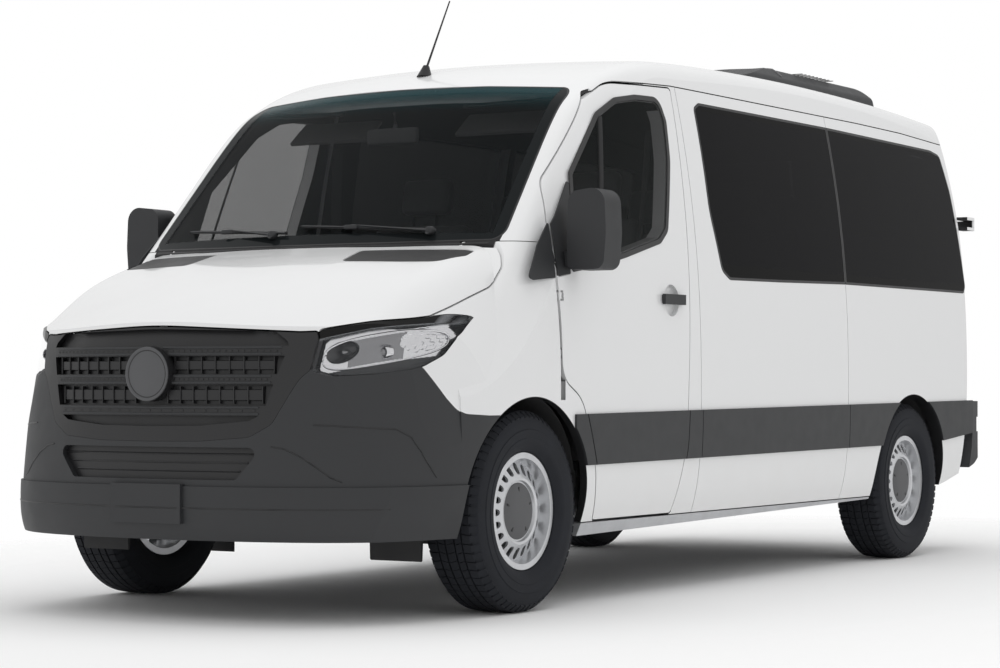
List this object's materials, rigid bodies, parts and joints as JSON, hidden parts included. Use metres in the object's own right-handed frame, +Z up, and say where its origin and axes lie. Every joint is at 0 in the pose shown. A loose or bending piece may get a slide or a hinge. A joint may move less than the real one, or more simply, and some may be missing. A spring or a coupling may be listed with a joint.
{
  "type": "minibus",
  "caption": "Passenger minibus with low roof, sliding side door, twin rear doors, hinged hood, steered front wheels and roof air unit.",
  "frame": {"origin": "on the ground, at the centre of the bounding box", "axes": "+X to the vehicle's left, +Y to its rear, +Z up"},
  "size_m": [2.3428, 5.64, 2.5011],
  "materials": {
    "white_paint": "gloss",
    "dark_plastic": "matte",
    "black_plastic": "satin",
    "privacy_glass": "gloss",
    "clear_glass": "gloss",
    "lamp_lens": "gloss",
    "red_lens": "gloss",
    "flap_rubber": "matte",
    "floor_paint": "matte",
    "silver_paint": "satin",
    "black_steel": "matte",
    "cast_metal": "matte",
    "pipe_steel": "satin",
    "tyre_rubber": "matte",
    "dash_plastic": "matte",
    "seat_fabric": "matte",
    "wheel_steel": "satin"
  },
  "bodies": {
    "body": {"side_panel_left": "white_paint", "sliding_door": "white_paint", "rear_quarters": "white_paint", "side_glass": "privacy_glass", "roof": "white_paint", "pillars": "white_paint", "tail_lamps": "red_lens", "windscreen_frame": "white_paint", "windscreen": "clear_glass", "front_wings": "white_paint", "front_bumper": "dark_plastic", "headlamps": "lamp_lens", "grilles": "black_plastic", "door_hinges": "white_paint", "rear_bumper": "dark_plastic", "roof_air_unit": "dark_plastic", "antenna": "black_plastic", "wipers": "black_plastic", "side_mouldings": "dark_plastic", "mud_flaps": "flap_rubber", "floor_pan": "floor_paint", "sills": "silver_paint", "chassis_rails": "black_steel", "front_suspension": "black_steel", "engine_block": "cast_metal", "fuel_tank": "black_plastic", "prop_shaft": "black_steel", "exhaust": "pipe_steel", "rear_axle": "black_steel", "spare_wheel": "tyre_rubber", "dashboard": "dash_plastic", "front_seat_pads": "seat_fabric", "bench_pads": "seat_fabric", "seat_frames": "black_steel"},
    "hood": {"hood": "white_paint", "hood_vents": "black_plastic"},
    "front_door_left": {"front_door_left": "white_paint", "door_glass_left": "clear_glass", "mirror_left": "dark_plastic", "door_trim_left": "dark_plastic"},
    "front_door_right": {"front_door_right": "white_paint", "door_glass_right": "clear_glass", "mirror_right": "dark_plastic", "door_trim_right": "dark_plastic"},
    "rear_door_left": {"rear_door_left": "white_paint", "rear_glass_left": "privacy_glass"},
    "rear_door_right": {"rear_door_right": "white_paint", "rear_glass_right": "privacy_glass"},
    "knuckle_left": {"knuckle_left": "cast_metal"},
    "knuckle_right": {"knuckle_right": "cast_metal"},
    "steering_wheel": {"steering_wheel": "dash_plastic"},
    "wheel_front_left": {"tyre_front_left": "tyre_rubber", "rim_front_left": "wheel_steel"},
    "wheel_front_right": {"tyre_front_right": "tyre_rubber", "rim_front_right": "wheel_steel"},
    "wheel_rear_left": {"tyre_rear_left": "tyre_rubber", "rim_rear_left": "wheel_steel"},
    "wheel_rear_right": {"tyre_rear_right": "tyre_rubber", "rim_rear_right": "wheel_steel"}
  },
  "joints": [
    {"name": "steer_left", "type": "hinge", "parent": "body", "child": "knuckle_left", "pos_m": [0.8, -1.75, 0.382], "axis": [0, 0, 1], "range_deg": [-33, 33]},
    {"name": "spin_front_left", "type": "hinge", "parent": "knuckle_left", "child": "wheel_front_left", "pos_m": [0.856, -1.75, 0.382], "axis": [1, 0, 0], "continuous": true},
    {"name": "spin_rear_left", "type": "hinge", "parent": "body", "child": "wheel_rear_left", "pos_m": [0.856, 1.915, 0.382], "axis": [1, 0, 0], "continuous": true},
    {"name": "front_door_left_swing", "type": "hinge", "parent": "body", "child": "front_door_left", "pos_m": [0.986, -1.54, 1.09], "axis": [0, 0, -1], "range_deg": [0, 65]},
    {"name": "rear_door_left_swing", "type": "hinge", "parent": "body", "child": "rear_door_left", "pos_m": [0.98, 2.757, 1.17], "axis": [0, 0, -1], "range_deg": [0, 180]},
    {"name": "steer_right", "type": "hinge", "parent": "body", "child": "knuckle_right", "pos_m": [-0.8, -1.75, 0.382], "axis": [0, 0, 1], "range_deg": [-33, 33]},
    {"name": "spin_front_right", "type": "hinge", "parent": "knuckle_right", "child": "wheel_front_right", "pos_m": [-0.856, -1.75, 0.382], "axis": [1, 0, 0], "continuous": true},
    {"name": "spin_rear_right", "type": "hinge", "parent": "body", "child": "wheel_rear_right", "pos_m": [-0.856, 1.915, 0.382], "axis": [1, 0, 0], "continuous": true},
    {"name": "front_door_right_swing", "type": "hinge", "parent": "body", "child": "front_door_right", "pos_m": [-0.986, -1.54, 1.09], "axis": [0, 0, 1], "range_deg": [0, 65]},
    {"name": "rear_door_right_swing", "type": "hinge", "parent": "body", "child": "rear_door_right", "pos_m": [-0.98, 2.757, 1.17], "axis": [0, 0, 1], "range_deg": [0, 180]},
    {"name": "hood_lift", "type": "hinge", "parent": "body", "child": "hood", "pos_m": [0, -1.77, 1.395], "axis": [-1, 0, 0], "range_deg": [0, 50]},
    {"name": "steering_turn", "type": "hinge", "parent": "body", "child": "steering_wheel", "pos_m": [0.43, -1.05, 1.2], "axis": [0, 0.6198, 0.7848], "range_deg": [-540, 540]}
  ],
  "couplings": [
    {"joint": "steer_right", "follows": "steer_left", "ratio": 1},
    {"joint": "steering_turn", "follows": "steer_left", "ratio": 16}
  ]
}
